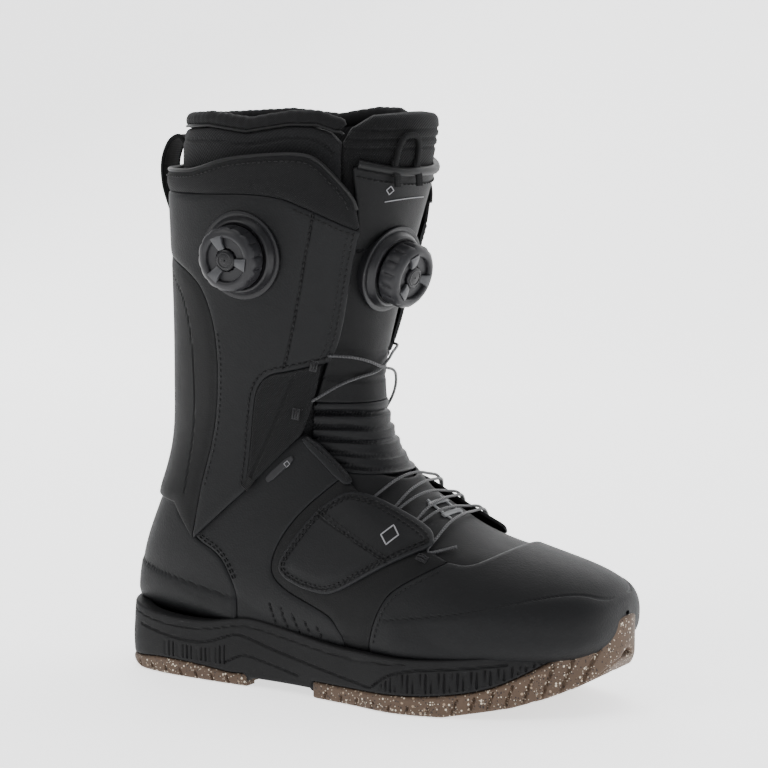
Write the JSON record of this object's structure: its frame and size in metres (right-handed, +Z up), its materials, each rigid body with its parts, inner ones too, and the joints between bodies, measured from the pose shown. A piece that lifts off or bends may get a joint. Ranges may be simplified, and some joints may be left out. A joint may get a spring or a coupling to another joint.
{
  "type": "snowboard boot",
  "caption": "Tall soft snowboard boot with a padded liner, lace-tightening dials, instep strap, flexing cuff and a brown rubber sole.",
  "frame": {"origin": "on the ground, under the middle of the bounding box", "axes": "+X from heel to toe, +Y towards the inner (medial) side, +Z up"},
  "size_m": [0.303, 0.1376, 0.3204],
  "materials": {
    "leather": "matt black synthetic leather, fine grain",
    "matte_leather": "matt black nubuck-like leather",
    "textile": "black woven textile",
    "webbing": "black woven webbing",
    "piping": "black edge piping",
    "tongue_shell": "smooth matt black flexible tongue shell",
    "flex_rubber": "matt black ribbed flex zone",
    "liner_foam": "black padded liner fabric",
    "liner_textile": "black liner fabric with a woven side panel",
    "dial_plastic": "black moulded plastic",
    "dial_rubber": "satin black grip",
    "dial_accent": "gloss black cap",
    "lace": "coated dark grey steel lace",
    "guide_plastic": "black nylon lace guide",
    "grey_guide": "light grey moulded guide",
    "midsole_foam": "matt black moulded midsole foam",
    "rubber_brown": "brown rubber with pale and dark speckles",
    "board": "grey brown fibre board and foam footbed",
    "steel": "bare steel shank"
  },
  "bodies": {
    "lower": {"outsole_heel": "rubber_brown", "outsole_forefoot": "rubber_brown", "midsole": "midsole_foam", "shank": "steel", "insole_board": "board", "toe_cap": "leather", "heel_counter": "leather", "instep_strap_lateral": "leather", "instep_strap_medial": "leather", "quarter_lateral": "matte_leather", "quarter_medial": "matte_leather", "vamp_panel_lateral": "textile", "vamp_panel_medial": "textile", "tongue_flex": "flex_rubber", "ankle_band_lateral": "webbing", "ankle_band_medial": "webbing", "eyestay_medial": "webbing", "label_tag": "webbing", "tongue_lower": "tongue_shell", "liner_foot": "liner_foam", "footbed": "board", "instep_guide": "grey_guide", "instep_lace": "lace", "lace_guide_lateral_1": "guide_plastic", "lace_guide_lateral_2": "guide_plastic", "lace_guide_lateral_3": "guide_plastic", "lace_guide_lateral_4": "guide_plastic", "lace_guide_medial_1": "guide_plastic", "lace_guide_medial_2": "guide_plastic", "lace_guide_medial_3": "guide_plastic"},
    "cuff": {"cuff_lateral": "leather", "cuff_medial": "leather", "cuff_flap_lateral": "matte_leather", "cuff_flap_medial": "matte_leather", "side_insert_lateral": "textile", "side_insert_medial": "textile", "back_panel": "textile", "rear_pull_loop": "webbing", "liner_tongue": "liner_foam", "liner_shaft": "liner_textile", "liner_ankle": "liner_textile", "liner_collar": "liner_textile", "ankle_lace_down": "lace", "ankle_lace_up": "lace", "cuff_guide_lateral_1": "guide_plastic", "cuff_guide_lateral_2": "guide_plastic", "cuff_guide_medial_1": "guide_plastic", "cuff_guide_medial_2": "guide_plastic", "side_dial_base": "dial_plastic"},
    "tongue": {"tongue_upper": "tongue_shell", "tongue_rim": "piping", "tongue_pull_tab": "webbing", "tongue_dial_base": "dial_plastic"},
    "side_core": {"side_dial_core": "dial_accent"},
    "side_knob": {"side_dial_knob": "dial_rubber"},
    "side_spool": {"side_dial_spool": "guide_plastic"},
    "tongue_core": {"tongue_dial_core": "dial_accent"},
    "tongue_knob": {"tongue_dial_knob": "dial_rubber"},
    "tongue_spool": {"tongue_dial_spool": "guide_plastic"}
  },
  "joints": [
    {"name": "cuff_flex", "type": "hinge", "parent": "lower", "child": "cuff", "pos_m": [-0.0815, 0.00782, 0.105], "axis": [0, 1, 0], "range_deg": [0, 8], "stiffness_Nm_per_rad": 14, "springref_deg": -3.44, "deforming": ["tongue_flex", "liner_ankle", "side_insert_lateral", "side_insert_medial", "ankle_lace_down", "ankle_lace_up"]},
    {"name": "tongue_open", "type": "hinge", "parent": "cuff", "child": "tongue", "pos_m": [0.0085, 0.00782, 0.162], "axis": [0, 1, 0], "range_deg": [0, 20], "stiffness_Nm_per_rad": 1.5, "springref_deg": -5.73, "deforming": ["tongue_flex", "ankle_lace_down", "ankle_lace_up"]},
    {"name": "side_dial_pull", "type": "slide", "parent": "cuff", "child": "side_core", "axis": [0.0119, -0.9947, -0.1025], "range_m": [0, 0.003]},
    {"name": "side_dial_turn", "type": "hinge", "parent": "side_core", "child": "side_knob", "pos_m": [-0.04929, -0.04995, 0.24203], "axis": [0.0119, -0.9947, -0.1025], "continuous": true},
    {"name": "side_spool_turn", "type": "hinge", "parent": "cuff", "child": "side_spool", "pos_m": [-0.04929, -0.04995, 0.24203], "axis": [0.0119, -0.9947, -0.1025], "continuous": true},
    {"name": "tongue_dial_pull", "type": "slide", "parent": "tongue", "child": "tongue_core", "axis": [0.9569, -0.1384, -0.2553], "range_m": [0, 0.003]},
    {"name": "tongue_dial_turn", "type": "hinge", "parent": "tongue_core", "child": "tongue_knob", "pos_m": [0.01551, 0.00003, 0.23381], "axis": [0.9569, -0.1384, -0.2553], "continuous": true},
    {"name": "tongue_spool_turn", "type": "hinge", "parent": "tongue", "child": "tongue_spool", "pos_m": [0.01551, 0.00003, 0.23381], "axis": [0.9569, -0.1384, -0.2553], "continuous": true}
  ],
  "couplings": [
    {"joint": "side_spool_turn", "follows": "side_dial_turn", "ratio": 1},
    {"joint": "tongue_spool_turn", "follows": "tongue_dial_turn", "ratio": 1}
  ]
}
